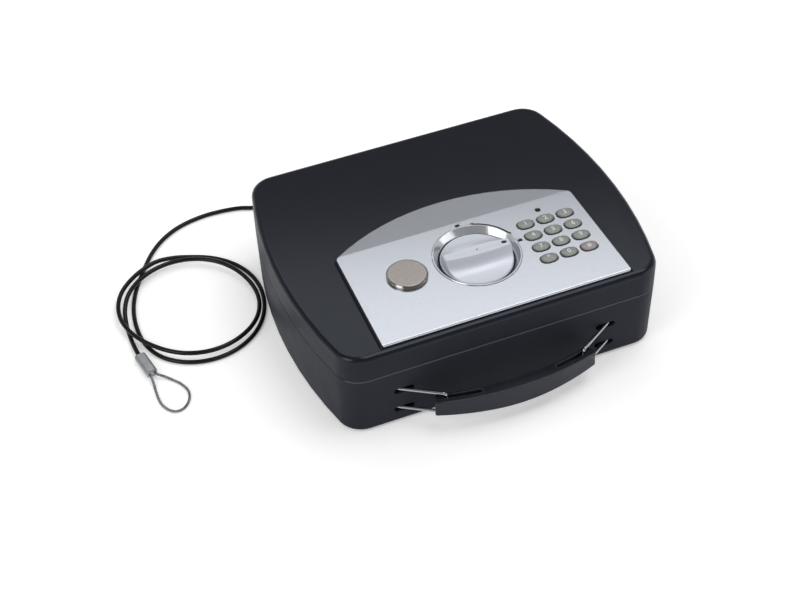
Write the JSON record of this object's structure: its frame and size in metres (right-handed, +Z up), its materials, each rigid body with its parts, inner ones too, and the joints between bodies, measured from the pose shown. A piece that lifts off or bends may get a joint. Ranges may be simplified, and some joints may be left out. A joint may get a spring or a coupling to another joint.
{
  "type": "portable safe",
  "caption": "Flat portable safe with bowed sides, hinged lid, silver keypad panel, turn knob, front carrying handle and a coiled tether cable with a wire eye.",
  "frame": {"origin": "centre of the base's flat underside, 1 mm above the floor that the rubber feet stand on", "axes": "+X to the right seen from the front, +Y from the front wall with the handle to the hinges, +Z up"},
  "size_m": [0.3762, 0.3005, 0.0825],
  "materials": {
    "base_shell": "satin",
    "floor_pad": "matte foam",
    "bail_bracket": "dark plated",
    "strike": "brushed",
    "hinge": "dark plated",
    "hinge_pin": "polished",
    "foot": "matte",
    "cable": "satin",
    "cable_metal": "satin",
    "lid_shell": "satin",
    "control_panel": "silver paint",
    "knob_well": "bright",
    "inner_cover": "satin",
    "battery": "printed sleeve",
    "membrane": "matte",
    "circuit_board": "solder mask",
    "led_lens": "gloss",
    "lock_steel": "brushed",
    "solenoid": "dark plated",
    "override_brass": "machined",
    "knob": "silver paint",
    "key": "translucent grey",
    "override_cap": "satin",
    "handle": "satin",
    "bail": "bright wire"
  },
  "bodies": {
    "base": {"base_shell": "base_shell", "floor_pad": "floor_pad", "bail_bracket_left": "bail_bracket", "bail_bracket_right": "bail_bracket", "strike_left": "strike", "strike_right": "strike", "hinge_base_leaf_left": "hinge", "hinge_base_leaf_right": "hinge", "hinge_pin_left": "hinge_pin", "hinge_pin_right": "hinge_pin", "foot_front_left": "foot", "foot_front_right": "foot", "foot_back_left": "foot", "foot_back_right": "foot", "cable_gland": "cable", "cable_lead": "cable", "cable_coil": "cable", "cable_ferrule": "cable_metal", "cable_eye": "cable_metal"},
    "lid": {"lid_shell": "lid_shell", "control_panel": "control_panel", "knob_well": "knob_well", "lid_inner_cover": "inner_cover", "battery_1": "battery", "battery_2": "battery", "battery_3": "battery", "battery_4": "battery", "keypad_membrane": "membrane", "circuit_board": "circuit_board", "led_lens": "led_lens", "lock_chassis": "lock_steel", "solenoid_body": "solenoid", "solenoid_spring": "lock_steel", "override_lock_body": "override_brass", "hinge_lid_leaf_left": "hinge", "hinge_lid_leaf_right": "hinge"},
    "knob": {"lock_knob": "knob", "cam_spindle": "lock_steel"},
    "bolt_left": {"bolt_left": "lock_steel"},
    "bolt_right": {"bolt_right": "lock_steel"},
    "plunger": {"solenoid_plunger": "lock_steel"},
    "override_plug": {"override_plug": "override_brass"},
    "override_cap": {"override_cap": "override_cap"},
    "battery_door": {"battery_door": "inner_cover"},
    "handle": {"handle": "handle"},
    "bail_left": {"bail_left": "bail"},
    "bail_right": {"bail_right": "bail"},
    "key_1": {"key_1": "key"},
    "key_2": {"key_2": "key"},
    "key_3": {"key_3": "key"},
    "key_4": {"key_4": "key"},
    "key_5": {"key_5": "key"},
    "key_6": {"key_6": "key"},
    "key_7": {"key_7": "key"},
    "key_8": {"key_8": "key"},
    "key_9": {"key_9": "key"},
    "key_star": {"key_star": "key"},
    "key_0": {"key_0": "key"},
    "key_hash": {"key_hash": "key"}
  },
  "joints": [
    {"name": "lid_hinge", "type": "hinge", "parent": "base", "child": "lid", "pos_m": [0, 0.10955, 0.0518], "axis": [-1, 0, 0], "range_deg": [0, 100]},
    {"name": "knob_turn", "type": "hinge", "parent": "lid", "child": "knob", "pos_m": [0.0045, -0.0435, 0.068], "axis": [0, 0, 1], "range_deg": [0, 90]},
    {"name": "bolt_left_slide", "type": "slide", "parent": "lid", "child": "bolt_left", "axis": [-1, 0, 0], "range_m": [0, 0.00901]},
    {"name": "bolt_right_slide", "type": "slide", "parent": "lid", "child": "bolt_right", "axis": [1, 0, 0], "range_m": [0, 0.00901]},
    {"name": "override_plug_turn", "type": "hinge", "parent": "lid", "child": "override_plug", "pos_m": [-0.05, -0.04365, 0.066], "axis": [0, 0, 1], "range_deg": [0, 90]},
    {"name": "plunger_slide", "type": "slide", "parent": "lid", "child": "plunger", "axis": [-1, 0, 0], "range_m": [0, 0.00351], "deforming": ["solenoid_spring"]},
    {"name": "override_cap_pull", "type": "slide", "parent": "lid", "child": "override_cap", "axis": [0, 0, 1], "range_m": [0, 0.012]},
    {"name": "battery_door_pull", "type": "slide", "parent": "lid", "child": "battery_door", "axis": [0, 0, -1], "range_m": [0, 0.025]},
    {"name": "key_1_press", "type": "slide", "parent": "lid", "child": "key_1", "axis": [0, 0, -1], "range_m": [0, 0.0008], "stiffness_N_per_m": 900},
    {"name": "key_2_press", "type": "slide", "parent": "lid", "child": "key_2", "axis": [0, 0, -1], "range_m": [0, 0.0008], "stiffness_N_per_m": 900},
    {"name": "key_3_press", "type": "slide", "parent": "lid", "child": "key_3", "axis": [0, 0, -1], "range_m": [0, 0.0008], "stiffness_N_per_m": 900},
    {"name": "key_4_press", "type": "slide", "parent": "lid", "child": "key_4", "axis": [0, 0, -1], "range_m": [0, 0.0008], "stiffness_N_per_m": 900},
    {"name": "key_5_press", "type": "slide", "parent": "lid", "child": "key_5", "axis": [0, 0, -1], "range_m": [0, 0.0008], "stiffness_N_per_m": 900},
    {"name": "key_6_press", "type": "slide", "parent": "lid", "child": "key_6", "axis": [0, 0, -1], "range_m": [0, 0.0008], "stiffness_N_per_m": 900},
    {"name": "key_7_press", "type": "slide", "parent": "lid", "child": "key_7", "axis": [0, 0, -1], "range_m": [0, 0.0008], "stiffness_N_per_m": 900},
    {"name": "key_8_press", "type": "slide", "parent": "lid", "child": "key_8", "axis": [0, 0, -1], "range_m": [0, 0.0008], "stiffness_N_per_m": 900},
    {"name": "key_9_press", "type": "slide", "parent": "lid", "child": "key_9", "axis": [0, 0, -1], "range_m": [0, 0.0008], "stiffness_N_per_m": 900},
    {"name": "key_star_press", "type": "slide", "parent": "lid", "child": "key_star", "axis": [0, 0, -1], "range_m": [0, 0.0008], "stiffness_N_per_m": 900},
    {"name": "key_0_press", "type": "slide", "parent": "lid", "child": "key_0", "axis": [0, 0, -1], "range_m": [0, 0.0008], "stiffness_N_per_m": 900},
    {"name": "key_hash_press", "type": "slide", "parent": "lid", "child": "key_hash", "axis": [0, 0, -1], "range_m": [0, 0.0008], "stiffness_N_per_m": 900},
    {"name": "handle_pull", "type": "slide", "parent": "base", "child": "handle", "axis": [0, -1, 0], "range_m": [-0.0053, 0.001]},
    {"name": "bail_left_swing", "type": "hinge", "parent": "base", "child": "bail_left", "pos_m": [-0.085, -0.1017, 0.022], "axis": [0, 0, -1], "range_deg": [-7.92, 1.52]},
    {"name": "bail_right_swing", "type": "hinge", "parent": "base", "child": "bail_right", "pos_m": [0.085, -0.1017, 0.022], "axis": [0, 0, 1], "range_deg": [-7.92, 1.52]}
  ],
  "couplings": [
    {"joint": "bolt_left_slide", "follows": "knob_turn", "m_per_rad": 0.0057296},
    {"joint": "bolt_right_slide", "follows": "knob_turn", "m_per_rad": 0.0057296},
    {"joint": "plunger_slide", "follows": "override_plug_turn", "m_per_rad": 0.0022282},
    {"joint": "bail_left_swing", "follows": "handle_pull", "rad_per_m": 25.95},
    {"joint": "bail_right_swing", "follows": "handle_pull", "rad_per_m": 25.95}
  ]
}
